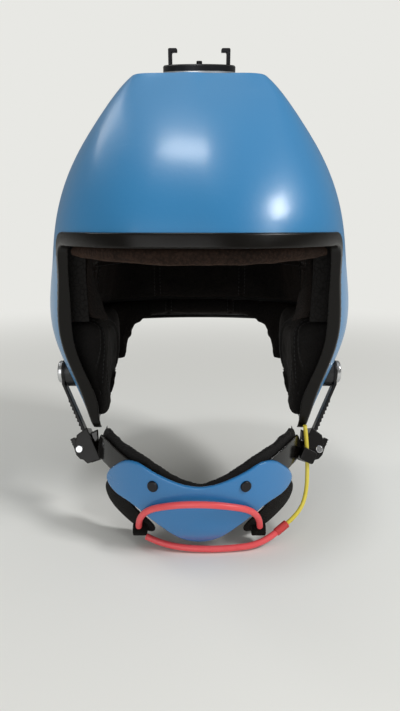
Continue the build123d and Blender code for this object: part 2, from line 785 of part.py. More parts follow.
# Tabs behind the cup's lower edge, each with the keeper that the tube turns in
tab_points = [(x * cup_half_width, -z * cup_bottom) for x, z in tab_outline_shares]
with BuildPart() as tab:
    add(cup_layer(carrier_depth, carrier_thickness))
    add(front_prism(tab_points), mode=Mode.INTERSECT)
    with Locations(Location((keeper_place, -keeper_reach, -keeper_height), (0, 90, 0))):
        Cylinder(keeper_radius, keeper_length)
save(tab.part, "cup_tab_right")
save(mirror(tab.part, about=Plane.YZ), "cup_tab_left")
print("chin piece made")


def route_tube(points, radius):
    """Round tube along straight runs joined by arcs as large as the runs allow."""
    corners = [Vector(*point) for point in points]
    radii = []
    for behind, here, ahead in zip(corners, corners[1:], corners[2:]):
        turn = math.radians((here - behind).get_angle(ahead - here))
        shorter = min((here - behind).length, (ahead - here).length)
        radii.append(0.45 * shorter / math.tan(turn / 2))
    print("radii", [round(value, 1) for value in radii])
    with BuildPart() as tube:
        with BuildLine():
            path = FilletPolyline(*corners, radius=radii)
        with BuildSketch(Plane(origin=corners[0], z_dir=corners[1] - corners[0])):
            Circle(radius)
        sweep(path=path)
    print("length", round(path.length, 1), "section times length", round(path.length * math.pi * radius**2))
    return tube.part


save(route_tube(arc_route, tube_radius), "release_handle")
save(route_tube(lower_route, tube_radius), "release_tube")
sleeve_start = Vector(*lower_route[-1])
sleeve_end = Vector(*cable_route[0])
with BuildPart() as sleeve:
    with BuildSketch(Plane(origin=sleeve_start, z_dir=sleeve_end - sleeve_start)):
        Circle(sleeve_radius)
    extrude(amount=(sleeve_end - sleeve_start).length)
save(sleeve.part, "release_sleeve")
save(route_tube(cable_route, cable_radius), "release_cable")

# Camera mount on the flat top, its base a wedge that leans the plate forward
rise = math.radians(base_lean)
disc_plane = Plane(origin=(0, base_place, shell_top + base_height), x_dir=(1, 0, 0),
                   z_dir=(0, -math.sin(rise), math.cos(rise)))
base_plane = disc_plane.offset(-base_height)
with BuildPart() as base:
    with BuildSketch(disc_plane):
        Circle(base_radius)
    extrude(amount=-base_height - base_radius)
    with Locations((0, base_place, shell_top - overrun / 2)):
        Box(overrun * 2, overrun * 2, overrun, mode=Mode.SUBTRACT)
    with BuildSketch(base_plane.offset(base_height - base_bore_depth)):
        Circle(base_bore_radius)
    extrude(amount=base_bore_depth, mode=Mode.SUBTRACT)
    with BuildSketch(base_plane.offset(base_height - mount_screw_grip)):
        with PolarLocations(mount_screw_circle, mount_screw_count, start_angle=45):
            Circle(mount_screw_radius)
    extrude(amount=mount_screw_grip, mode=Mode.SUBTRACT)
save(base.part, "camera_base")

with BuildPart() as disc:
    with BuildSketch(disc_plane):
        Circle(disc_radius)
    extrude(amount=disc_height)
    chamfer(faces().sort_by(Axis.Z)[-1].edges(), length=disc_edge)
    with BuildSketch(disc_plane):
        Circle(plunger_radius + plunger_gap)
        with PolarLocations(mount_screw_circle, mount_screw_count, start_angle=45):
            Circle(mount_screw_radius)
    extrude(amount=disc_height, mode=Mode.SUBTRACT)
    with BuildSketch(disc_plane.offset(disc_height - mount_screw_head_height)):
        with PolarLocations(mount_screw_circle, mount_screw_count, start_angle=45):
            Circle(mount_screw_head_radius)
    extrude(amount=mount_screw_head_height, mode=Mode.SUBTRACT)
save(disc.part, "camera_plate")

with BuildPart() as hook:
    with BuildSketch(Plane(origin=disc_plane.origin, x_dir=(1, 0, 0),
                           z_dir=(0, -math.cos(rise), -math.sin(rise)))):
        with BuildLine():
            foot = disc_height
            Polyline((hook_stem_in, foot), (hook_stem_out, foot), (hook_stem_out, foot + hook_height),
                     (hook_stem_in - hook_reach, foot + hook_height),
                     (hook_stem_in - hook_reach, foot + hook_height - hook_arm_height),
                     (hook_stem_in, foot + hook_height - hook_arm_height), close=True)
        make_face()
    extrude(amount=hook_depth / 2, both=True)
    long_edges = edges().filter_by(lambda edge: abs(edge.length - hook_depth) < disc_edge)
    fillet(long_edges.sort_by(Axis(disc_plane.origin, disc_plane.z_dir))[-2:], radius=disc_edge)
save(hook.part, "camera_hook_right")
save(mirror(hook.part, about=Plane.YZ), "camera_hook_left")

with BuildPart() as mount_screws:
    with BuildSketch(disc_plane.offset(-mount_screw_grip)):
        with PolarLocations(mount_screw_circle, mount_screw_count, start_angle=45):
            Circle(mount_screw_radius - pin_hole_gap)
    extrude(amount=mount_screw_grip + disc_height - mount_screw_head_height)
    with BuildSketch(disc_plane.offset(disc_height - mount_screw_head_height)):
        with PolarLocations(mount_screw_circle, mount_screw_count, start_angle=45):
            Circle(mount_screw_head_radius - pin_hole_gap)
    extrude(amount=mount_screw_head_height)
save(mount_screws.part, "mount_screws")

with BuildPart() as plunger:
    with BuildSketch(disc_plane.offset(-plunger_flange_gap - plunger_flange)):
        Circle(plunger_flange_radius)
    extrude(amount=plunger_flange)
    with BuildSketch(disc_plane.offset(-plunger_flange_gap - plunger_flange)):
        Circle(plunger_radius)
    extrude(amount=plunger_flange + plunger_flange_gap + disc_height)
    with BuildSketch(disc_plane.offset(disc_height)):
        Circle(plunger_end_radius)
    extrude(amount=plunger_height)
    chamfer(faces().sort_by(Axis.Z)[-1].edges(), length=plunger_end_edge)
save(plunger.part, "latch_plunger")
spring_height = base_bore_depth - plunger_flange_gap - plunger_flange - 2 * edge_gap
with BuildPart() as latch_spring:
    with BuildSketch(base_plane.offset(base_height - base_bore_depth + edge_gap)):
        Circle(latch_spring_outer)
        Circle(latch_spring_inner, mode=Mode.SUBTRACT)
    extrude(amount=spring_height)
save(latch_spring.part, "latch_spring")
print("camera mount made")
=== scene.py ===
import math

import bmesh
import bpy
from mathutils import Matrix, Vector, noise
from mathutils.bvhtree import BVHTree


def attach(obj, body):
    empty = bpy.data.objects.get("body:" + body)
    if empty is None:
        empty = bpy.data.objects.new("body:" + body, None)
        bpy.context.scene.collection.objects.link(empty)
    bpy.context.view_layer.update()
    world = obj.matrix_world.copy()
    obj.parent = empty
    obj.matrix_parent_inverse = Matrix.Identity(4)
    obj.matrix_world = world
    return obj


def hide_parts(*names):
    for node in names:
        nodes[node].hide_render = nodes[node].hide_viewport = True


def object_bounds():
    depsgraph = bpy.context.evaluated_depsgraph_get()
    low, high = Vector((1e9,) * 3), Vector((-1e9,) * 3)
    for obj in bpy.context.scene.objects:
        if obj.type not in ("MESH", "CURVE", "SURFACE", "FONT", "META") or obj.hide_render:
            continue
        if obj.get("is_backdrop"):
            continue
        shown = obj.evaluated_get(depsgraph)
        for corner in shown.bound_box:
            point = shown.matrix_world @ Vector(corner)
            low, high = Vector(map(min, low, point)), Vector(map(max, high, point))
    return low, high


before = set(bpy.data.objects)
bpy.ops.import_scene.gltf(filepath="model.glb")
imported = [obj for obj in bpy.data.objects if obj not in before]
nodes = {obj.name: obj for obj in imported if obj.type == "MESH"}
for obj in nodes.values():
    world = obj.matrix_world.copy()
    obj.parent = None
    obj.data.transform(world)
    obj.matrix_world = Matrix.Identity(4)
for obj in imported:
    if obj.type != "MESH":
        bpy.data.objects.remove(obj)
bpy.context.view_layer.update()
scene = bpy.context.scene
print("frame loaded")

# Camera. Its focus and frame height are in pixels of the frame, its tilt is in degrees.

cameraLook = {"place": (0.0005, -0.414, 0.101), "tilt": 12.0, "focus": 537.0, "frameHeight": 711.0,
              "sensor": 24.0, "near": 0.01}


def placeCamera(look):
    lens = bpy.data.cameras.new("camera")
    lens.sensor_fit = "VERTICAL"
    lens.sensor_height = look["sensor"]
    lens.lens = look["sensor"] * look["focus"] / look["frameHeight"]
    lens.clip_start = look["near"]
    camera = bpy.data.objects.new("camera", lens)
    camera.location = look["place"]
    camera.rotation_euler = (math.radians(90 - look["tilt"]), 0, 0)
    scene.collection.objects.link(camera)
    scene.camera = camera


placeCamera(cameraLook)

# Finishes. A look holds the values of one finish, a grain those that all finishes of one kind share.

screen = {"levels": 255, "knee": 0.04, "slope": 12.92, "lift": 0.055, "power": 2.4}


def shade(red, green, blue):  # a colour as a screen shows it
    parts = [part / screen["levels"] for part in (red, green, blue)]
    return tuple(part / screen["slope"] if part < screen["knee"]
                 else ((part + screen["lift"]) / (1 + screen["lift"])) ** screen["power"]
                 for part in parts) + (1.0,)


class Signal:  # one socket of a finish, so that sums can be written with it
    def __init__(self, tree, socket=None):
        self.tree = tree
        self.socket = socket

    def node(self, kind, settings=None, sockets=None, out=0):
        made = self.tree.nodes.new(kind)
        for name, value in (settings or {}).items():
            setattr(made, name, value)
        for key, value in (sockets or {}).items():
            if isinstance(value, Signal):
                self.tree.links.new(value.socket, made.inputs[key])
            else:
                made.inputs[key].default_value = value
        return Signal(self.tree, made.outputs[out] if made.outputs else None)

    def beside(self, out):  # another socket of the same node
        return Signal(self.tree, self.socket.node.outputs[out])

    def maths(self, operation, first, second=0.0):
        return self.node("ShaderNodeMath", {"operation": operation}, {0: first, 1: second})

    def __add__(self, other):
        return self.maths("ADD", self, other)

    def __radd__(self, other):
        return self.maths("ADD", other, self)

    def __rsub__(self, other):
        return self.maths("SUBTRACT", other, self)

    def __mul__(self, other):
        return self.maths("MULTIPLY", self, other)

    def __pow__(self, other):
        return self.maths("POWER", self, other)

    def __gt__(self, other):
        return self.maths("GREATER_THAN", self, other)

    def __lt__(self, other):
        return self.maths("LESS_THAN", self, other)


def startFinish(name):
    finish = bpy.data.materials.new(name)
    finish.use_nodes = True
    finish.node_tree.nodes.clear()
    return finish, Signal(finish.node_tree)


def closeFinish(finish, start, sockets):
    shader = start.node("ShaderNodeBsdfPrincipled", {}, sockets)
    start.node("ShaderNodeOutputMaterial", {}, {"Surface": shader})
    return finish


def objectPlace(start):
    return start.node("ShaderNodeTexCoord", {}, {}, "Object")


def whereOn(start, scale=(1, 1, 1), turn=(0, 0, 0)):
    return start.node("ShaderNodeMapping", {},
                      {"Vector": objectPlace(start), "Scale": scale, "Rotation": turn})


def cloud(start, spot, scale, detail=3.0, rough=0.55):
    return start.node("ShaderNodeTexNoise", {},
                      {"Vector": spot, "Scale": scale, "Detail": detail, "Roughness": rough})


def rows(start, spot, way, count, waver):
    return start.node("ShaderNodeTexWave", {"bands_direction": way},
                      {"Vector": spot, "Scale": count, "Distortion": waver, "Detail": 1.0})


def between(start, factor, first, second):
    return start.node("ShaderNodeMix", {"data_type": "RGBA"}, {0: factor, 6: first, 7: second}, 2)


def raised(start, height, strength, distance):
    return start.node("ShaderNodeBump", {}, {"Height": height, "Strength": strength, "Distance": distance})


def mask(start, signal, low, high):
    return start.node("ShaderNodeMapRange", {"interpolation_type": "SMOOTHSTEP"},
                      {"Value": signal, "From Min": low, "From Max": high})


# Scales count features in a metre, and depths are in metres.

shellPaint = {"colour": shade(46, 128, 180), "deeper": shade(38, 117, 170), "dust": shade(108, 162, 200),
              "roughness": 0.36, "peel": 380.0, "peelDepth": 0.00010, "coat": 0.35, "coatRoughness": 0.20,
              "inside": shade(20, 20, 21), "middle": (0.0, -0.005, 0.06), "bossRadius": 0.0124,
              "bossFrom": 0.085, "bareRoughness": 0.25}
cupPaint = {"colour": shade(50, 128, 188), "deeper": shade(42, 118, 178), "dust": shade(120, 168, 206),
            "roughness": 0.24, "peel": 520.0, "peelDepth": 0.00008, "coat": 0.45, "coatRoughness": 0.12}
paintGrain = {"tone": 7.0, "toneRoughness": 0.05, "peelDetail": 2.0, "peelStrength": 0.35, "refraction": 1.5,
              "speck": 1900.0, "speckDetail": 1.0, "speckFrom": 0.70, "speckTo": 0.78, "speckShare": 0.25,
              "speckRise": 0.3, "rubbed": 26.0, "rubbedStretch": (1, 1, 2.6), "rubbedTurn": (0.3, 0.5, 0.2),
              "rubbedDetail": 6.0, "rubbedRough": 0.68, "rubbedFrom": 0.62, "rubbedTo": 0.80,
              "rubbedShare": 0.10, "rubbedRoughness": 0.12}


def barePlaces(start, look):  # the bare laminate inside and the black bosses of the pivots
    plain = objectPlace(start)
    outward = start.node("ShaderNodeVectorMath", {"operation": "SUBTRACT"}, {0: plain, 1: look["middle"]})
    normal = start.node("ShaderNodeNewGeometry", {}, {}, "True Normal")
    facing = start.node("ShaderNodeVectorMath", {"operation": "DOT_PRODUCT"}, {0: outward, 1: normal}, 1)
    apart = start.node("ShaderNodeSeparateXYZ", {}, {"Vector": plain})
    across, deep, height = apart.maths("ABSOLUTE", apart.beside("X")), apart.beside("Y"), apart.beside("Z")
    radius = (deep * deep + height * height) ** 0.5
    boss = (look["bossRadius"] > radius) * (across > look["bossFrom"])
    return boss.maths("MAXIMUM", boss, 0.0 > facing)


def paintFinish(name, look):
    finish, start = startFinish(name)
    grain = paintGrain
    spot = whereOn(start)
    tone = cloud(start, spot, grain["tone"])
    peel = cloud(start, spot, look["peel"], grain["peelDetail"])
    speck = mask(start, cloud(start, spot, grain["speck"], grain["speckDetail"]),
                 grain["speckFrom"], grain["speckTo"])
    rubbed = mask(start, cloud(start, whereOn(start, grain["rubbedStretch"], grain["rubbedTurn"]),
                               grain["rubbed"], grain["rubbedDetail"], grain["rubbedRough"]),
                  grain["rubbedFrom"], grain["rubbedTo"])
    colour = between(start, tone, look["colour"], look["deeper"])
    colour = between(start, speck * grain["speckShare"] + rubbed * grain["rubbedShare"], colour, look["dust"])
    roughness = look["roughness"] + tone * grain["toneRoughness"] + rubbed * grain["rubbedRoughness"]
    if "inside" in look:
        bare = barePlaces(start, look)
        colour = between(start, bare, colour, look["inside"])
        roughness = roughness + bare * look["bareRoughness"]
    return closeFinish(finish, start, {
        "Base Color": colour, "Roughness": roughness, "Coat Weight": look["coat"],
        "Coat Roughness": look["coatRoughness"], "IOR": grain["refraction"],
        "Normal": raised(start, peel + speck * grain["speckRise"], grain["peelStrength"], look["peelDepth"])})


fleeceLook = {"dark": shade(8, 7, 6), "light": shade(27, 22, 20), "tuft": 620.0, "pile": 2300.0,
              "depth": 0.0011, "shine": 0.15, "sheen": 0.07, "sheenColour": shade(150, 120, 105)}
browLook = {"dark": shade(20, 14, 11), "light": shade(56, 41, 33), "tuft": 560.0, "pile": 2300.0,
            "depth": 0.0012, "shine": 0.15, "sheen": 0.14, "sheenColour": shade(170, 125, 100)}
lycraLook = {"dark": shade(7, 6, 6), "light": shade(24, 21, 19), "tuft": 900.0, "pile": 3000.0,
             "depth": 0.0006, "shine": 0.25, "sheen": 0.06, "sheenColour": shade(140, 125, 115)}
fleeceGrain = {"smoothness": 0.6, "pileDetail": 3.0, "pileRough": 0.7, "matted": 38.0, "mattedDetail": 4.0,
               "mattedRough": 0.6, "tuftRise": 0.6, "pileRise": 0.5, "mattedRise": 0.5, "pileShare": 0.6,
               "mattedShare": 0.4, "tuftShare": 0.25, "lightFrom": 0.45, "lightTo": 0.95, "roughness": 0.86,
               "mattedRoughness": 0.1, "sheenRoughness": 0.45, "strength": 0.8}


def fleeceFinish(name, look):
    finish, start = startFinish(name)
    grain = fleeceGrain
    spot = whereOn(start)
    tuft = start.node("ShaderNodeTexVoronoi", {"feature": "SMOOTH_F1"},
                      {"Vector": spot, "Scale": look["tuft"], "Smoothness": grain["smoothness"]})
    pile = cloud(start, spot, look["pile"], grain["pileDetail"], grain["pileRough"])
    matted = cloud(start, spot, grain["matted"], grain["mattedDetail"], grain["mattedRough"])
    height = (1 - tuft) * grain["tuftRise"] + pile * grain["pileRise"] + matted * grain["mattedRise"]
    lit = pile * grain["pileShare"] + matted * grain["mattedShare"] + (1 - tuft) * grain["tuftShare"]
    colour = between(start, mask(start, lit, grain["lightFrom"], grain["lightTo"]),
                     look["dark"], look["light"])
    return closeFinish(finish, start, {
        "Base Color": colour, "Roughness": grain["roughness"] + matted * grain["mattedRoughness"],
        "Specular IOR Level": look["shine"], "Sheen Weight": look["sheen"],
        "Sheen Roughness": grain["sheenRoughness"], "Sheen Tint": look["sheenColour"],
        "Normal": raised(start, height, grain["strength"], look["depth"])})


neopreneLook = {"dark": shade(8, 7, 7), "light": shade(28, 25, 24), "rows": 2100.0, "depth": 0.00035}
threadLook = {"dark": shade(30, 30, 31), "light": shade(70, 70, 72), "rows": 5200.0, "depth": 0.0001}
knitGrain = {"turn": (0, 0, 0.6), "waver": 0.6, "lint": 1400.0, "lintDetail": 2.0, "lintFrom": 0.68,
             "lintTo": 0.76, "lintShare": 0.12, "lintColour": shade(120, 116, 112), "matted": 30.0,
             "mattedDetail": 4.0, "stitchShare": 0.5, "mattedShare": 0.35, "mattedRise": 0.6,
             "roughness": 0.72, "mattedRoughness": 0.14, "shine": 0.3, "sheen": 0.07, "sheenRoughness": 0.4,
             "strength": 0.7}
rowShare = 6.28  # rows over this is a wave texture's scale, which gives about half as many to the metre


def knitFinish(name, look):
    finish, start = startFinish(name)
    grain = knitGrain
    spot = whereOn(start, (1, 1, 1), grain["turn"])
    wales, courses = [rows(start, spot, way, look["rows"] / rowShare, grain["waver"]) for way in "XZ"]
    lint = mask(start, cloud(start, spot, grain["lint"], grain["lintDetail"]),
                grain["lintFrom"], grain["lintTo"])
    matted = cloud(start, spot, grain["matted"], grain["mattedDetail"])
    stitch = wales * courses
    colour = between(start, stitch * grain["stitchShare"] + matted * grain["mattedShare"],
                     look["dark"], look["light"])
    colour = between(start, lint * grain["lintShare"], colour, grain["lintColour"])
    return closeFinish(finish, start, {
        "Base Color": colour, "Roughness": grain["roughness"] + matted * grain["mattedRoughness"],
        "Specular IOR Level": grain["shine"], "Sheen Weight": grain["sheen"],
        "Sheen Roughness": grain["sheenRoughness"],
        "Normal": raised(start, stitch + matted * grain["mattedRise"], grain["strength"], look["depth"])})


rubberLook = {"colour": shade(7, 5, 3), "bloom": shade(26, 20, 14), "roughness": 0.27, "shine": 0.22,
              "depth": 0.00015}
strapLook = {"colour": shade(11, 10, 10), "bloom": shade(38, 36, 34), "roughness": 0.40, "shine": 0.35,
             "depth": 0.00012}
buckleLook = {"colour": shade(11, 9, 8), "bloom": shade(38, 33, 29), "roughness": 0.34, "shine": 0.30,
              "depth": 0.00015}
glossLook = {"colour": shade(8, 6, 5), "bloom": shade(26, 22, 19), "roughness": 0.11, "shine": 0.55,
             "depth": 0.00005}
mouldedGrain = {"fine": 2600.0, "fineDetail": 2.0, "fineRough": 0.6, "fineShare": 0.12, "fineRoughness": 0.04,
                "smear": 45.0, "smearStretch": (1, 1, 3), "smearTurn": (0.4, 0.2, 0.9), "smearDetail": 5.0,
                "smearRough": 0.65, "smearRise": 0.5, "rubbedFrom": 0.55, "rubbedTo": 0.82,
                "rubbedShare": 0.5, "rubbedRoughness": 0.14, "strength": 0.3}


def mouldedFinish(name, look):
    finish, start = startFinish(name)
    grain = mouldedGrain
    fine = cloud(start, whereOn(start), grain["fine"], grain["fineDetail"], grain["fineRough"])
    smear = cloud(start, whereOn(start, grain["smearStretch"], grain["smearTurn"]),
                  grain["smear"], grain["smearDetail"], grain["smearRough"])
    rubbed = mask(start, smear, grain["rubbedFrom"], grain["rubbedTo"])
    colour = between(start, rubbed * grain["rubbedShare"] + fine * grain["fineShare"],
                     look["colour"], look["bloom"])
    roughness = look["roughness"] + rubbed * grain["rubbedRoughness"] + fine * grain["fineRoughness"]
    return closeFinish(finish, start, {
        "Base Color": colour, "Roughness": roughness, "Specular IOR Level": look["shine"],
        "Normal": raised(start, fine + smear * grain["smearRise"], grain["strength"], look["depth"])})


steelLook = {"colour": shade(205, 206, 208), "stain": shade(150, 148, 146), "roughness": 0.17, "metal": 1.0}
darkSteelLook = {"colour": shade(52, 52, 54), "stain": shade(30, 30, 31), "roughness": 0.34, "metal": 0.9}
anodisedLook = {"colour": shade(27, 27, 29), "stain": shade(70, 70, 73), "roughness": 0.33, "metal": 0.75}
metalGrain = {"streak": 420.0, "streakStretch": (1, 6, 1), "streakTurn": (0.2, 0.7, 0.4), "streakDetail": 4.0,
              "streakRough": 0.6, "streakShare": 0.1, "streakRoughness": 0.12, "stain": 90.0,
              "stainDetail": 4.0, "stainFrom": 0.48, "stainTo": 0.80, "stainShare": 0.45,
              "stainRoughness": 0.10, "strength": 0.12, "depth": 0.00002}


def metalFinish(name, look):
    finish, start = startFinish(name)
    grain = metalGrain
    streak = cloud(start, whereOn(start, grain["streakStretch"], grain["streakTurn"]),
                   grain["streak"], grain["streakDetail"], grain["streakRough"])
    stain = mask(start, cloud(start, whereOn(start), grain["stain"], grain["stainDetail"]),
                 grain["stainFrom"], grain["stainTo"])
    colour = between(start, stain * grain["stainShare"] + streak * grain["streakShare"],
                     look["colour"], look["stain"])
    roughness = look["roughness"] + streak * grain["streakRoughness"] + stain * grain["stainRoughness"]
    return closeFinish(finish, start, {
        "Base Color": colour, "Metallic": look["metal"], "Roughness": roughness,
        "Normal": raised(start, streak, grain["strength"], grain["depth"])})


turnedLook = {"colour": shade(206, 207, 209), "stain": shade(168, 168, 170), "roughness": 0.24, "metal": 1.0,
              "middle": (0.0, -0.008, 0.216), "lean": 14.0, "lines": 5200.0, "linesDetail": 2.0,
              "linesRough": 0.6, "linesShare": 0.2, "linesRoughness": 0.16, "stainScale": 60.0,
              "stainDetail": 4.0, "stainFrom": 0.5, "stainTo": 0.8, "stainShare": 0.5, "stainRoughness": 0.08,
              "strength": 0.35, "depth": 0.00005}


def turnedFinish(name, look):  # fine rings round the leaning axis of the camera mount
    finish, start = startFinish(name)
    spot = objectPlace(start)
    offset = start.node("ShaderNodeVectorMath", {"operation": "SUBTRACT"}, {0: spot, 1: look["middle"]})
    level = start.node("ShaderNodeMapping", {},
                       {"Vector": offset, "Rotation": (math.radians(-look["lean"]), 0, 0)})
    apart = start.node("ShaderNodeSeparateXYZ", {}, {"Vector": level})
    across, deep, height = apart, apart.beside("Y"), apart.beside("Z")
    radius = (across * across + deep * deep) ** 0.5
    place = start.node("ShaderNodeCombineXYZ", {}, {"X": radius, "Y": height})
    lines = cloud(start, place, look["lines"], look["linesDetail"], look["linesRough"])
    stain = mask(start, cloud(start, spot, look["stainScale"], look["stainDetail"]),
                 look["stainFrom"], look["stainTo"])
    colour = between(start, stain * look["stainShare"] + lines * look["linesShare"],
                     look["colour"], look["stain"])
    roughness = look["roughness"] + lines * look["linesRoughness"] + stain * look["stainRoughness"]
    return closeFinish(finish, start, {
        "Base Color": colour, "Metallic": look["metal"], "Roughness": roughness,
        "Normal": raised(start, lines, look["strength"], look["depth"])})


webbingLook = {"dark": shade(8, 7, 6), "light": shade(30, 27, 23), "fluffColour": shade(130, 122, 104),
               "turn": (0.0, 0.75, 0.0), "rows": 1500.0, "weftShare": 3.6, "waver": 1.2, "hooks": 2600.0,
               "hooksDetail": 2.0, "hooksRough": 0.7, "fluff": 330.0, "fluffDetail": 4.0, "fluffRough": 0.7,
               "fluffFrom": 0.58, "fluffTo": 0.80, "warpRise": 0.6, "weftRise": 0.4, "hooksRise": 0.7,
               "hooksShare": 0.35, "warpShare": 0.15, "fluffShare": 0.08, "roughness": 0.8,
               "hooksRoughness": 0.15, "shine": 0.14, "sheen": 0.03, "strength": 0.8, "depth": 0.0005}


def webbingFinish(name, look):
    finish, start = startFinish(name)
    spot = whereOn(start, (1, 1, 1), look["turn"])
    warp = rows(start, spot, "X", look["rows"] / rowShare, look["waver"])
    weft = rows(start, spot, "Z", look["rows"] / look["weftShare"], look["waver"])
    hooks = cloud(start, spot, look["hooks"], look["hooksDetail"], look["hooksRough"])
    fluff = mask(start, cloud(start, spot, look["fluff"], look["fluffDetail"], look["fluffRough"]),
                 look["fluffFrom"], look["fluffTo"])
    height = warp * look["warpRise"] + weft * look["weftRise"] + hooks * look["hooksRise"]
    colour = between(start, hooks * look["hooksShare"] + warp * look["warpShare"],
                     look["dark"], look["light"])
    colour = between(start, fluff * look["fluffShare"], colour, look["fluffColour"])
    return closeFinish(finish, start, {
        "Base Color": colour, "Roughness": look["roughness"] + hooks * look["hooksRoughness"],
        "Specular IOR Level": look["shine"], "Sheen Weight": look["sheen"],
        "Normal": raised(start, height, look["strength"], look["depth"])})


foamLook = {"colour": shade(15, 13, 12), "crevice": shade(8, 7, 6), "bead": 320.0, "jointTo": 0.10,
            "tone": 60.0, "jointShare": 0.8, "toneShare": 0.15, "roughness": 0.72, "jointRoughness": 0.2,
            "shine": 0.2, "strength": 0.5, "depth": 0.0003}


def foamFinish(name, look):
    finish, start = startFinish(name)
    spot = whereOn(start)
    bead = start.node("ShaderNodeTexVoronoi", {"feature": "DISTANCE_TO_EDGE"},
                      {"Vector": spot, "Scale": look["bead"]})
    joint = 1 - mask(start, bead, 0.0, look["jointTo"])
    tone = cloud(start, spot, look["tone"])
    colour = between(start, joint * look["jointShare"] + tone * look["toneShare"],
                     look["colour"], look["crevice"])
    return closeFinish(finish, start, {
        "Base Color": colour, "Roughness": look["roughness"] + joint * look["jointRoughness"],
        "Specular IOR Level": look["shine"],
        "Normal": raised(start, 1 - joint, look["strength"], look["depth"])})


redLook = {"colour": shade(234, 66, 74), "faded": shade(242, 104, 106), "dirt": shade(172, 42, 48),
           "roughness": 0.34}
bindingLook = {"colour": shade(196, 38, 42), "faded": shade(222, 84, 80), "dirt": shade(132, 24, 28),
               "roughness": 0.62}
yellowLook = {"colour": shade(214, 192, 40), "faded": shade(232, 216, 92), "dirt": shade(150, 132, 30),
              "roughness": 0.36}
cordGrain = {"tone": 55.0, "toneDetail": 4.0, "toneRise": 0.4, "fine": 1500.0, "fineDetail": 2.0,
             "fineRoughness": 0.10, "grime": 130.0, "grimeDetail": 5.0, "grimeRough": 0.7, "grimeFrom": 0.56,
             "grimeTo": 0.80, "grimeShare": 0.3, "grimeRoughness": 0.12, "coat": 0.1, "strength": 0.3,
             "depth": 0.0001}


def cordFinish(name, look):
    finish, start = startFinish(name)
    grain = cordGrain
    spot = whereOn(start)
    tone = cloud(start, spot, grain["tone"], grain["toneDetail"])
    fine = cloud(start, spot, grain["fine"], grain["fineDetail"])
    grime = mask(start, cloud(start, spot, grain["grime"], grain["grimeDetail"], grain["grimeRough"]),
                 grain["grimeFrom"], grain["grimeTo"])
    colour = between(start, tone, look["colour"], look["faded"])
    colour = between(start, grime * grain["grimeShare"], colour, look["dirt"])
    roughness = look["roughness"] + fine * grain["fineRoughness"] + grime * grain["grimeRoughness"]
    return closeFinish(finish, start, {
        "Base Color": colour, "Roughness": roughness, "Coat Weight": grain["coat"],
        "Normal": raised(start, fine + tone * grain["toneRise"], grain["strength"], grain["depth"])})


finishKinds = [
    (paintFinish, {"shell_paint": shellPaint, "cup_paint": cupPaint}),
    (fleeceFinish, {"fleece": fleeceLook, "brow_fleece": browLook, "lycra": lycraLook}),
    (knitFinish, {"neoprene": neopreneLook, "thread": threadLook}),
    (mouldedFinish, {"edging": rubberLook, "strap_plastic": strapLook, "buckle_plastic": buckleLook,
                     "carrier_gloss": glossLook}),
    (metalFinish, {"steel": steelLook, "dark_steel": darkSteelLook, "black_steel": darkSteelLook,
                   "black_anodised": anodisedLook}),
    (turnedFinish, {"aluminium": turnedLook}),
    (webbingFinish, {"webbing": webbingLook}),
    (foamFinish, {"foam": foamLook}),
    (cordFinish, {"red_tube": redLook, "red_binding": bindingLook, "yellow_cable": yellowLook}),
]
finishes = {name: make(name, look) for make, looks in finishKinds for name, look in looks.items()}
print("finishes made")

# Pieces


def putOn(piece, finishName):
    piece.data.materials.clear()
    piece.data.materials.append(finishes[finishName])


def newPiece(name, form, finishName):
    piece = bpy.data.objects.new(name, form)
    scene.collection.objects.link(piece)
    putOn(piece, finishName)
    return piece


def asMesh(shape, name):
    mesh = bpy.data.meshes.new(name)
    shape.to_mesh(mesh)
    shape.free()
    return mesh


def settled(piece):  # the piece's modifiers become its mesh
    shaped = bpy.data.meshes.new_from_object(piece.evaluated_get(bpy.context.evaluated_depsgraph_get()))
    piece.modifiers.clear()
    piece.data = shaped
    return piece


def smoothed(piece):
    for face in piece.data.polygons:
        face.use_smooth = True
    return piece


def mirrored(piece, name):
    shape = bmesh.new()
    shape.from_mesh(piece.data)
    bmesh.ops.scale(shape, vec=(-1, 1, 1), verts=shape.verts)
    bmesh.ops.reverse_faces(shape, faces=shape.faces)
    return newPiece(name, asMesh(shape, name), piece.data.materials[0].name)


weldReach = 0.000005


def copyOfNode(node, name, finishName):
    shape = bmesh.new()
    shape.from_mesh(nodes[node].data)
    bmesh.ops.remove_doubles(shape, verts=shape.verts, dist=weldReach)
    return newPiece(name, asMesh(shape, name), finishName)


relaxShare = 0.5


def relax(piece, rounds):
    shape = bmesh.new()
    shape.from_mesh(piece.data)
    for turn in range(rounds):
        bmesh.ops.smooth_vert(shape, verts=shape.verts, factor=relaxShare,
                              use_axis_x=True, use_axis_y=True, use_axis_z=True)
    shape.to_mesh(piece.data)
    shape.free()


def remeshed(piece, size):
    knit = piece.modifiers.new("knit", "REMESH")
    knit.mode = "VOXEL"
    knit.voxel_size = size
    return settled(piece)


def softened(node, name, body, finishName, size, rounds):  # a CAD node's form with its edges rounded
    piece = copyOfNode(node, name, finishName)
    remeshed(piece, size)
    relax(piece, rounds)
    putOn(piece, finishName)
    smoothed(piece)
    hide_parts(node)
    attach(piece, body)


nodeFinishes = {
    "shell": "shell_paint", "foam_liner": "foam", "pivot_washers": "dark_steel", "pivot_screws": "steel",
    "pivot_nuts": "dark_steel", "camera_base": "aluminium", "camera_plate": "black_anodised",
    "mount_screws": "black_steel", "latch_spring": "steel", "buckle_pins": "steel", "buckle_springs": "steel",
    "cup_rivets": "black_steel", "latch_plunger": "black_anodised",
}
for nodeName, finishName in nodeFinishes.items():
    putOn(nodes[nodeName], finishName)
print("hard pieces painted")

# Each row: CAD node, piece, body, finish, voxel size in metres, rounds of smoothing.

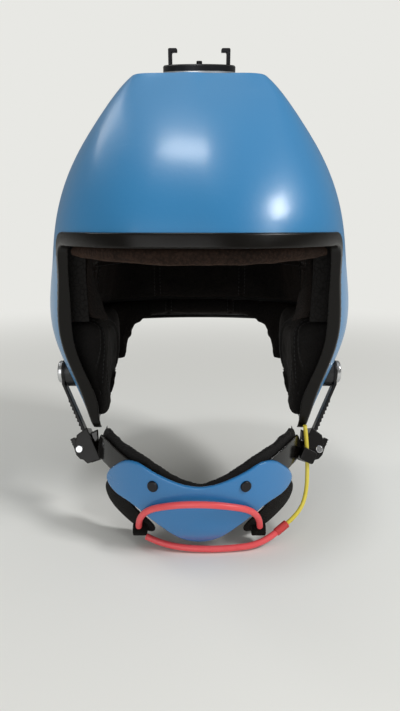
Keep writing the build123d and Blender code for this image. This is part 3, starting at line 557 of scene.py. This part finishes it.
softEdges = [
    ("face_edging", "faceEdging", "helmet", "edging", 0.00065, 3),
    ("lower_edging", "lowerEdging", "helmet", "edging", 0.00060, 3),
    ("chin_cup", "chinCup", "chin_piece", "cup_paint", 0.0007, 6),
    ("chin_carrier", "chinCarrier", "chin_piece", "carrier_gloss", 0.0007, 4),
    ("cup_tab_left", "cupTabLeft", "chin_piece", "webbing", 0.0006, 4),
    ("cup_tab_right", "cupTabRight", "chin_piece", "webbing", 0.0006, 4),
    ("ladder_strap_left", "ladderStrapLeft", "harness", "strap_plastic", 0.0004, 2),
    ("ladder_strap_right", "ladderStrapRight", "harness", "strap_plastic", 0.0004, 2),
    ("buckle_frame_left", "buckleFrameLeft", "chin_piece", "buckle_plastic", 0.0004, 3),
    ("buckle_frame_right", "buckleFrameRight", "chin_piece", "buckle_plastic", 0.0004, 3),
    ("buckle_lever_left", "buckleLeverLeft", "lever_left", "buckle_plastic", 0.00035, 2),
    ("buckle_lever_right", "buckleLeverRight", "lever_right", "buckle_plastic", 0.00035, 2),
    ("release_lug", "releaseLug", "chin_piece", "buckle_plastic", 0.0004, 3),
    ("camera_hook_left", "cameraHookLeft", "helmet", "black_anodised", 0.0004, 2),
    ("camera_hook_right", "cameraHookRight", "helmet", "black_anodised", 0.0004, 2),
]
for row in softEdges:
    softened(*row)
print("moulded pieces rounded")

# Pads. Each is its CAD form, made into a net, blown up a little and then sewn.
# net is the size of its meshes, blow the pressure in it, swell how far it may rise and fill how full it is.
# A seam runs across, along or level at one place, or as an oval at the ear, or under the chin pad's top.

earSeam = {"kind": "oval", "middle": (0.010, 0.008), "wide": 0.027, "high": 0.030, "width": 0.0022,
           "depth": 0.0022, "pocket": 0.0045}
chinSeam = {"kind": "chin", "drop": 0.0062, "width": 0.0012, "depth": 0.0009}
chinTop = [(0.0, 0.0574), (0.0266, 0.0475), (0.0415, 0.0409), (0.0566, 0.0353), (0.0679, 0.0332),
           (0.073, 0.0391)]
pads = {
    "crownPad": {"node": "crown_pad", "body": "helmet", "finish": "fleece", "net": 0.0050, "blow": 3.0,
                 "swell": 0.0035, "fill": 0.6,
                 "seams": [{"kind": "across", "at": 0.034}, {"kind": "across", "at": -0.034},
                           {"kind": "along", "at": -0.020}, {"kind": "along", "at": 0.040}]},
    "rearPad": {"node": "rear_pad", "body": "helmet", "finish": "fleece", "net": 0.0052, "blow": 3.0,
                "swell": 0.0035, "fill": 0.6,
                "seams": [{"kind": "across", "at": 0.040}, {"kind": "across", "at": -0.040},
                          {"kind": "along", "at": 0.030}, {"kind": "level", "at": 0.084}]},
    "browPad": {"node": "brow_pad", "body": "helmet", "finish": "brow_fleece", "net": 0.0038, "blow": 3.5,
                "swell": 0.003, "fill": 0.7, "seams": [{"kind": "level", "at": 0.0985}],
                "allRound": True, "curve": {"from": 0.096, "foot": 0.086, "lift": 0.0062, "wide": 0.095}},
    "earPadRight": {"node": "ear_pad_right", "body": "helmet", "finish": "lycra", "net": 0.0038, "blow": 4.0,
                    "swell": 0.0045, "fill": 0.7, "twin": ("earPadLeft", "ear_pad_left"),
                    "seams": [earSeam, {"kind": "along", "at": -0.0265}]},
    "napePad": {"node": "nape_pad", "body": "helmet", "finish": "fleece", "net": 0.0042, "blow": 4.0,
                "swell": 0.003, "fill": 0.6,
                "seams": [{"kind": "across", "at": 0.030}, {"kind": "across", "at": -0.030}]},
    "chinPad": {"node": "chin_pad", "body": "chin_piece", "finish": "neoprene", "net": 0.0030, "blow": 4.0,
                "swell": 0.0020, "fill": 0.6, "relax": 7, "seams": [chinSeam]},
}
padMaking = {"frames": 16, "quality": 3, "netRelax": 5, "sewnRelax": 2, "finer": 2, "outerFrom": 0.25,
             "outerShare": 0.08, "innerShare": 0.6, "leastCap": 0.0003, "seamWidth": 0.0021,
             "seamDepth": 0.0021, "seamFrom": 0.05, "pocketFrom": 0.4, "pocketPower": 4,
             "unevenness": ((120, 0.0004), (420, 0.00018))}
# The pads of a body face its middle. A net is a pad's piece with its places and normals before it is blown up.
middles = {"helmet": Vector((0, -0.005, 0.06)), "chin_piece": Vector((0, 0, -0.05))}
nets = {}


def startPad(name, look):
    piece = copyOfNode(look["node"], name, look["finish"])
    remeshed(piece, look["net"])
    relax(piece, padMaking["netRelax"])
    before = [vertex.co.copy() for vertex in piece.data.vertices]
    facings = [vertex.normal.copy() for vertex in piece.data.vertices]
    nets[name] = (piece, before, facings)


def addBlow(piece, look):
    cloth = piece.modifiers.new("cloth", "CLOTH")
    cloth.settings.use_pressure = True
    cloth.settings.uniform_pressure_force = look["blow"]
    cloth.settings.effector_weights.gravity = 0
    cloth.settings.quality = padMaking["quality"]
    cloth.collision_settings.use_collision = False
    cloth.point_cache.frame_end = padMaking["frames"]


def holdSwell(name, look):  # the side against the shell stays, the side against the head swells up to the cap
    piece, before, facings = nets[name]
    settled(piece)
    middle = middles[look["body"]]
    for vertex, old, facing in zip(piece.data.vertices, before, facings):
        move = vertex.co - old
        outward = (old - middle).normalized().dot(facing)
        share = padMaking["outerShare"] if outward > padMaking["outerFrom"] \
            else min(1, padMaking["innerShare"] - outward)
        cap = look["swell"] * share
        if move.length > cap:
            vertex.co = old + move.normalized() * max(cap, padMaking["leastCap"])


def chinLine(across):
    for (near, high), (far, low) in zip(chinTop, chinTop[1:]):
        if across <= far:
            return -(high + (low - high) * (across - near) / (far - near))
    return -chinTop[-1][1]


def ovalReach(seam, spot):  # 1 on the oval, less inside it
    return math.hypot((spot.y - seam["middle"][0]) / seam["wide"],
                      (spot.z - seam["middle"][1]) / seam["high"])


def seamDistance(seam, spot):
    if seam["kind"] == "across":
        return abs(spot.x - seam["at"])
    if seam["kind"] == "along":
        return abs(spot.y - seam["at"])
    if seam["kind"] == "level":
        return abs(spot.z - seam["at"])
    if seam["kind"] == "chin":
        return abs(spot.z - chinLine(abs(spot.x)) + seam["drop"])
    return abs(ovalReach(seam, spot) - 1) * seam["wide"]


def finer(piece, levels):
    parts = piece.modifiers.new("finer", "SUBSURF")
    parts.levels = levels
    parts.render_levels = levels
    settled(piece)


def sew(piece, look):  # seams pull in, the ear's pocket sinks, and the pile is a little uneven
    middle = middles[look["body"]]
    facings = [vertex.normal.copy() for vertex in piece.data.vertices]
    for vertex, facing in zip(piece.data.vertices, facings):
        spot = vertex.co.copy()
        inward = -(spot - middle).normalized().dot(facing)
        move = sum(noise.noise(spot * fine) * height for fine, height in padMaking["unevenness"])
        if inward > padMaking["seamFrom"] or look.get("allRound"):
            for seam in look["seams"]:
                width = seam.get("width", padMaking["seamWidth"])
                depth = seam.get("depth", padMaking["seamDepth"])
                move -= depth * math.exp(-(seamDistance(seam, spot) / width) ** 2)
                if "pocket" in seam and inward > padMaking["pocketFrom"]:
                    reach = ovalReach(seam, spot)
                    if reach < 1:
                        move -= seam["pocket"] * (1 - reach ** padMaking["pocketPower"])
        vertex.co = spot + facing * move


def curveFoot(piece, curve):  # the pad's lower edge rises towards its ends
    for vertex in piece.data.vertices:
        share = min(1, max(0, (curve["from"] - vertex.co.z) / (curve["from"] - curve["foot"])))
        vertex.co.z += curve["lift"] * share * (vertex.co.x / curve["wide"]) ** 2


# Stitches: rows of short threads on both sides of each seam.

stitchLook = {"pitch": 0.0031, "length": 0.0022, "radius": 0.00030, "aside": 0.0027, "sink": 0.00008,
              "gap": 0.004, "chinRadius": 0.080, "chinEnd": 0.6, "sides": 6, "steps": 1440, "reach": 0.25,
              "glance": 0.25, "rings": ((-0.5, 0.55), (-0.25, 1.0), (0.25, 1.0), (0.5, 0.55))}


def seamRays(look, seam, aside):  # lines from the head's side that meet the pad beside a seam
    middle = middles[look["body"]]
    for step in range(stitchLook["steps"]):
        turn = math.radians(step * 360 / stitchLook["steps"])
        run, rise = math.cos(turn), math.sin(turn)
        if seam["kind"] == "across":
            yield Vector((seam["at"] + aside, middle.y, middle.z)), Vector((0, run, rise))
        elif seam["kind"] == "along":
            yield Vector((0, seam["at"] + aside, middle.z)), Vector((run, 0, rise))
        elif seam["kind"] == "level":
            yield Vector((0, middle.y, seam["at"] + aside)), Vector((run, rise, 0))
        elif seam["kind"] == "oval":
            yield Vector((0, seam["middle"][0] + (seam["wide"] + aside) * run,
                          seam["middle"][1] + (seam["high"] + aside) * rise)), Vector((1, 0, 0))
        elif rise < -stitchLook["chinEnd"]:
            across = stitchLook["chinRadius"] * run
            yield Vector((0, 0, chinLine(abs(across)) - seam["drop"] + aside)), Vector((run, rise, 0))


def stitchPlaces(look, seam, aside, tree):  # points, normals and ways at one pitch along the row
    places, last, run = [], None, 0.0
    for start, way in seamRays(look, seam, aside):
        spot, facing = tree.ray_cast(start, way, stitchLook["reach"])[:2]
        if spot is None or facing.dot(way) > -stitchLook["glance"]:
            last = None
            continue
        if last is not None and (spot - last).length < stitchLook["gap"]:
            run += (spot - last).length
            if run > stitchLook["pitch"]:
                places.append((spot, facing, (spot - last).normalized()))
                run = 0.0
        last = spot
    return places


def addStitch(points, faces, spot, facing, along):
    beside = facing.cross(along).normalized()
    first, sides = len(points), stitchLook["sides"]
    for share, width in stitchLook["rings"]:
        heart = spot + along * share * stitchLook["length"] - facing * stitchLook["sink"]
        for side in range(sides):
            turn = 2 * math.pi * side / sides
            points.append(heart + (beside * math.cos(turn) + facing * math.sin(turn))
                          * width * stitchLook["radius"])
    last = first + (len(stitchLook["rings"]) - 1) * sides
    for low in range(first, last, sides):
        high = low + sides
        for side in range(sides):
            after = (side + 1) % sides
            faces.append((low + side, low + after, high + after, high + side))
    faces.append(tuple(first + side for side in reversed(range(sides))))
    faces.append(tuple(last + side for side in range(sides)))


def stitched(piece, look, name):
    mesh = piece.data
    tree = BVHTree.FromPolygons([vertex.co for vertex in mesh.vertices],
                                [face.vertices for face in mesh.polygons])
    points, faces = [], []
    for seam in look["seams"]:
        for side in (1,) if seam["kind"] == "chin" else (-1, 1):
            aside = side * stitchLook["aside"]
            for place in stitchPlaces(look, seam, aside, tree):
                addStitch(points, faces, *place)
    made = bpy.data.meshes.new(name)
    made.from_pydata(points, [], faces)
    made.validate()
    shape = bmesh.new()
    shape.from_mesh(made)
    bmesh.ops.recalc_face_normals(shape, faces=shape.faces)
    shape.to_mesh(made)
    shape.free()
    return smoothed(newPiece(name, made, "thread"))


def finishPad(name, look):
    piece = nets[name][0]
    relax(piece, look.get("relax", padMaking["sewnRelax"]))
    if "curve" in look:
        curveFoot(piece, look["curve"])
    finer(piece, padMaking["finer"])
    sew(piece, look)
    madePads = [(piece, look["node"])]
    if "twin" in look:
        twin, twinNode = look["twin"]
        madePads.append((mirrored(piece, twin), twinNode))
    threads = [stitched(piece, look, name + "Thread")]
    if "twin" in look:
        threads.append(mirrored(threads[0], twin + "Thread"))
    slotName = "neoprene" if look["finish"] == "neoprene" else "fleece"
    for thread in threads:
        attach(thread, look["body"])
    for pad, node in madePads:
        putOn(pad, look["finish"])
        smoothed(pad)
        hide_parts(node)
        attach(pad, look["body"])


for padName, look in pads.items():
    startPad(padName, look)
print("pads netted")
for padName, look in pads.items():
    addBlow(nets[padName][0], look)
for number in range(1, padMaking["frames"] + 1):
    scene.frame_set(number)
for padName, look in pads.items():
    holdSwell(padName, look)
scene.frame_set(1)
print("pads blown up")
for padName, look in pads.items():
    finishPad(padName, look)
print("pads sewn")

# Release tube and cable

cords = {
    "releaseHandle": {
        "route": [(-42.5, -69.4, -95.1), (-41.5, -79.5, -78.5), (-15.5, -91.5, -66.8), (15.5, -91.5, -67.4),
                  (41.5, -79.5, -78.5), (42.5, -69.4, -95.1)],
        "radius": 0.00225, "finish": "red_tube", "body": "release_loop", "node": "release_handle",
        "length": 0.1246, "stiffness": "stiff", "ends": "object"},
    "releaseTube": {
        "route": [(-37.2, -69.0, -103.2), (-26.0, -74.0, -106.2), (-3.0, -77.0, -108.2),
                  (21.0, -76.0, -108.4), (44.0, -72.6, -107.0), (54.5, -67.0, -101.2)],
        "radius": 0.00225, "finish": "red_tube", "body": "chin_piece", "node": "release_tube",
        "length": 0.0956, "stiffness": "stiff", "ends": "object"},
    "releaseCable": {
        "route": [(62.5, -62.73, -96.78), (72.8, -57.2, -91.1), (79.5, -46.5, -79.5), (80.6, -38.5, -60.0),
                  (80.0, -36.0, -44.0), (78.0, -36.8, -32.0)],
        "radius": 0.0015, "finish": "yellow_cable", "body": "chin_piece", "node": "release_cable",
        "length": 0.0786, "stiffness": "stiff", "ends": "bare"},
}
cordShape = {"order": 3, "steps": 12, "roundness": 6}


def inMetres(point):  # the routes and the sleeve's ends are given in millimetres
    return Vector(point) / 1000


def layCord(name, look):
    line = bpy.data.curves.new(name, "CURVE")
    line.dimensions = "3D"
    run = line.splines.new("NURBS")
    points = [inMetres(point) for point in look["route"]]
    run.points.add(len(points) - 1)
    for knot, point in zip(run.points, points):
        knot.co = (*point, 1.0)
    run.order_u = cordShape["order"]
    run.use_endpoint_u = True
    run.resolution_u = cordShape["steps"]
    line.bevel_depth = look["radius"]
    line.bevel_resolution = cordShape["roundness"]
    line.use_fill_caps = True
    cord = newPiece(name, line, look["finish"])
    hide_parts(look["node"])
    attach(cord, look["body"])
    2 * look["radius"]


for cordName, look in cords.items():
    layCord(cordName, look)
print("cords laid")

sleeveLook = {"start": (54.5, -67.0, -101.2), "end": (62.5, -62.73, -96.78), "radius": 0.0029,
              "thread": 0.0007, "groove": 0.00028, "bore": (0.0015, 0.0012), "steps": 32,
              "bulge": ((0.2, 0.75), (0.5, 1.0), (0.8, 0.75), (1.0, 0.0)), "level": 1e-6}


def sleeveRows(look, length):  # height and radius down the sleeve, one bulge for each turn of thread
    turns = int(length / look["thread"])
    foot = look["radius"] - look["groove"]
    profile = [(0.0, look["bore"][0]), (0.0, foot)]
    for turn in range(turns):
        for share, lift in look["bulge"]:
            profile.append(((turn + share) * length / turns, look["radius"] - look["groove"] * (1 - lift)))
    return profile + [(length, look["bore"][1])]


def whippedSleeve(look):
    start, end = inMetres(look["start"]), inMetres(look["end"])
    length = (end - start).length
    shape = bmesh.new()
    profile = [shape.verts.new((radius, 0, height)) for height, radius in sleeveRows(look, length)]
    edges = [shape.edges.new(pair) for pair in zip(profile, profile[1:])]
    bmesh.ops.spin(shape, geom=profile + edges, cent=(0, 0, 0), axis=(0, 0, 1), angle=2 * math.pi,
                   steps=look["steps"], use_merge=True)
    for height in (0, length):
        rim = [edge for edge in shape.edges
               if edge.is_boundary and abs(edge.verts[0].co.z - height) < look["level"]]
        bmesh.ops.contextual_create(shape, geom=rim)
    bmesh.ops.recalc_face_normals(shape, faces=shape.faces)
    turn = Vector((0, 0, 1)).rotation_difference(end - start).to_matrix().to_4x4()
    bmesh.ops.transform(shape, matrix=Matrix.Translation(start) @ turn, verts=shape.verts)
    sleeve = smoothed(newPiece("releaseSleeve", asMesh(shape, "releaseSleeve"), "red_binding"))
    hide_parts("release_sleeve")
    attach(sleeve, "chin_piece")


whippedSleeve(sleeveLook)
print("sleeve whipped")

# Floor and light

studio = {"floorSize": 8.0, "floorParts": 4, "floorDrop": 0.0005, "pale": shade(232, 232, 228),
          "floor": shade(236, 236, 232), "near": 0.2, "far": 1.4, "ambient": 0.30}
lamps = [
    {"name": "above", "place": (-0.13, -0.25, 1.334), "aim": (0, -0.09, 0.15), "size": (0.20, 0.20),
     "power": 2.8},
    {"name": "window", "place": (0.92, -0.475, 0.852), "aim": (0.045, -0.107, 0.118), "size": (0.28, 0.28),
     "power": 9.0},
    {"name": "crease", "place": (-0.74, 0.42, 1.04), "aim": (-0.05, -0.06, 0.18), "size": (0.2, 0.5),
     "power": 1.3},
    {"name": "front", "place": (-0.45, -1.4, 0.35), "aim": (0, 0, 0.0), "size": (1.0, 0.9), "power": 5.5},
    {"name": "sky", "place": (0.1, 0.1, 1.7), "aim": (0, 0, 0.1), "size": (1.8, 1.8), "power": 3.0},
]


def makeFloor(look):  # it turns into the backdrop's tone farther out
    shape = bmesh.new()
    bmesh.ops.create_grid(shape, x_segments=look["floorParts"], y_segments=look["floorParts"],
                          size=look["floorSize"])
    bmesh.ops.translate(shape, vec=(0, 0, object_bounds()[0].z - look["floorDrop"]), verts=shape.verts)
    floor = bpy.data.objects.new("floor", asMesh(shape, "floor"))
    scene.collection.objects.link(floor)
    finish, start = startFinish("floor")
    away = start.node("ShaderNodeVectorMath", {"operation": "LENGTH"}, {0: objectPlace(start)}, 1)
    matt = start.node("ShaderNodeBsdfDiffuse", {}, {"Color": look["floor"]})
    glow = start.node("ShaderNodeEmission", {}, {"Color": look["pale"], "Strength": 1.0})
    mixed = start.node("ShaderNodeMixShader", {},
                       {0: mask(start, away, look["near"], look["far"]), 1: matt, 2: glow})
    start.node("ShaderNodeOutputMaterial", {}, {"Surface": mixed})
    floor.data.materials.append(finish)
    floor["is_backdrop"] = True


def makeBackdrop(look):  # plain to the camera, a soft light to everything else
    world = bpy.data.worlds.new("world")
    world.use_nodes = True
    world.node_tree.nodes.clear()
    start = Signal(world.node_tree)
    rays = start.node("ShaderNodeLightPath")
    seen = rays.maths("MAXIMUM", rays.beside("Is Camera Ray"), rays.beside("Is Transmission Ray"))
    soft = start.node("ShaderNodeBackground", {}, {"Color": look["pale"], "Strength": look["ambient"]})
    plain = start.node("ShaderNodeBackground", {}, {"Color": look["pale"], "Strength": 1.0})
    both = start.node("ShaderNodeMixShader", {}, {0: seen, 1: soft, 2: plain})
    start.node("ShaderNodeOutputWorld", {}, {"Surface": both})
    scene.world = world


def hangLamp(look):
    light = bpy.data.lights.new(look["name"], "AREA")
    light.shape = "RECTANGLE"
    light.size, light.size_y = look["size"]
    light.energy = look["power"]
    lamp = bpy.data.objects.new(look["name"], light)
    lamp.location = look["place"]
    lamp.rotation_euler = (Vector(look["aim"]) - Vector(look["place"])).to_track_quat("-Z", "Y").to_euler()
    scene.collection.objects.link(lamp)


makeFloor(studio)
makeBackdrop(studio)
for lamp in lamps:
    hangLamp(lamp)
scene.view_settings.view_transform = "Standard"
print("studio set")
